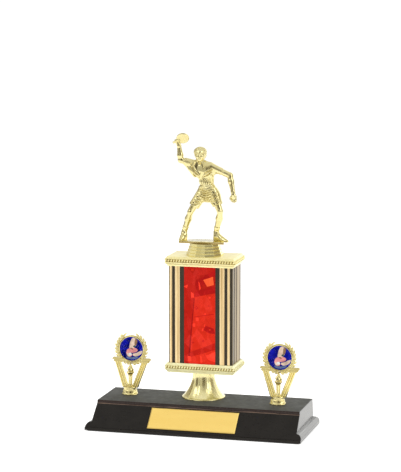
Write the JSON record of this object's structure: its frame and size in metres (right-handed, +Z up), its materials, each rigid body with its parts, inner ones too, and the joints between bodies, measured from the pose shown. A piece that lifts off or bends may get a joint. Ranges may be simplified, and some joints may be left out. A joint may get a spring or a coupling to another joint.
{
  "type": "table tennis trophy",
  "caption": "Award trophy: a table tennis player on a boxed column with a flared riser, on a weighted plinth with an engraving plate and laurel disc holders.",
  "frame": {"origin": "middle of the plinth's footprint, on the surface it rests on", "axes": "+Z up the column, +X along the plinth towards the holder on the right as seen from the front, -Y towards the sloping front face"},
  "size_m": [0.229, 0.0926, 0.3063],
  "materials": {
    "plinth": "polished black moulding",
    "plaster": "cast plaster",
    "felt": "needled felt",
    "plate": "gold-anodised, satin, blank",
    "tape": "foam tape",
    "steel": "zinc-plated",
    "gold": "vacuum-metallised pale gold, mirror",
    "tube": "gloss black",
    "foil_red": "prismatic foil film",
    "foil_gold": "hot-stamped gold foil",
    "disc_print": "printed foil",
    "resin": "clear doming resin"
  },
  "bodies": {
    "root": {"base_shell": "plinth", "base_weight": "plaster", "base_felt": "felt", "engraving_plate": "plate", "plate_tape": "tape", "tie_rod": "steel", "tie_rod_nut": "steel", "tie_rod_washer": "steel", "riser_cone": "gold", "column_bottom_cap": "gold", "column_tube": "tube", "column_top_cap": "gold", "red_panel_front": "foil_red", "red_panel_back": "foil_red", "gold_stripes": "foil_gold", "figure_pedestal": "gold", "figure_nut": "steel", "figure": "gold", "trim_frame_left": "gold", "trim_frame_right": "gold", "disc_left": "disc_print", "disc_right": "disc_print", "dome_left": "resin", "dome_right": "resin", "trim_screw_left": "steel", "trim_screw_right": "steel", "trim_washer_left": "steel", "trim_washer_right": "steel"}
  },
  "joints": []
}
